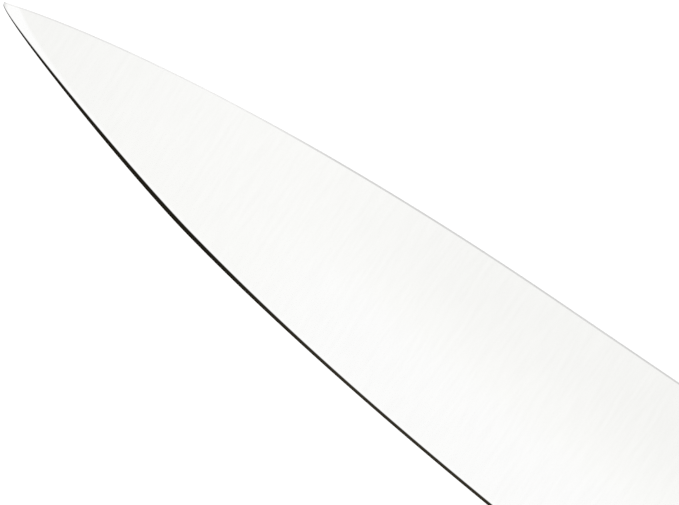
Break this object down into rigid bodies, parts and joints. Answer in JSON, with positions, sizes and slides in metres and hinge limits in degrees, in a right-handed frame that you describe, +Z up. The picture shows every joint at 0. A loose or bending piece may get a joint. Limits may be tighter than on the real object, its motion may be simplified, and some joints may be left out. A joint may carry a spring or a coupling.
{
  "type": "fillet knife",
  "caption": "Forged full-tang fillet knife with a slender curved blade that narrows to an upswept point, a sloped half bolster and a contoured handle of riveted scales.",
  "frame": {"origin": "centre of the knife's bounding box at its base, with the knife lying on its side on the lower handle scale", "axes": "+X from the tip towards the butt of the handle, +Y from the cutting edge towards the spine, +Z up through the thickness"},
  "size_m": [0.3064, 0.0268, 0.0156],
  "materials": {
    "blade_steel": "stainless steel, finely ground across the blade, with a honed edge and a polished bolster",
    "rivet_steel": "stainless steel, ground flush with the scales and buffed",
    "handle_black": "dense black moulded plastic, ground and buffed to a satin"
  },
  "bodies": {
    "root": {"blade": "blade_steel", "upper_scale": "handle_black", "lower_scale": "handle_black", "rivet_1_barrel": "rivet_steel", "rivet_1_pin": "rivet_steel", "rivet_2_barrel": "rivet_steel", "rivet_2_pin": "rivet_steel", "rivet_3_barrel": "rivet_steel", "rivet_3_pin": "rivet_steel"}
  },
  "joints": []
}
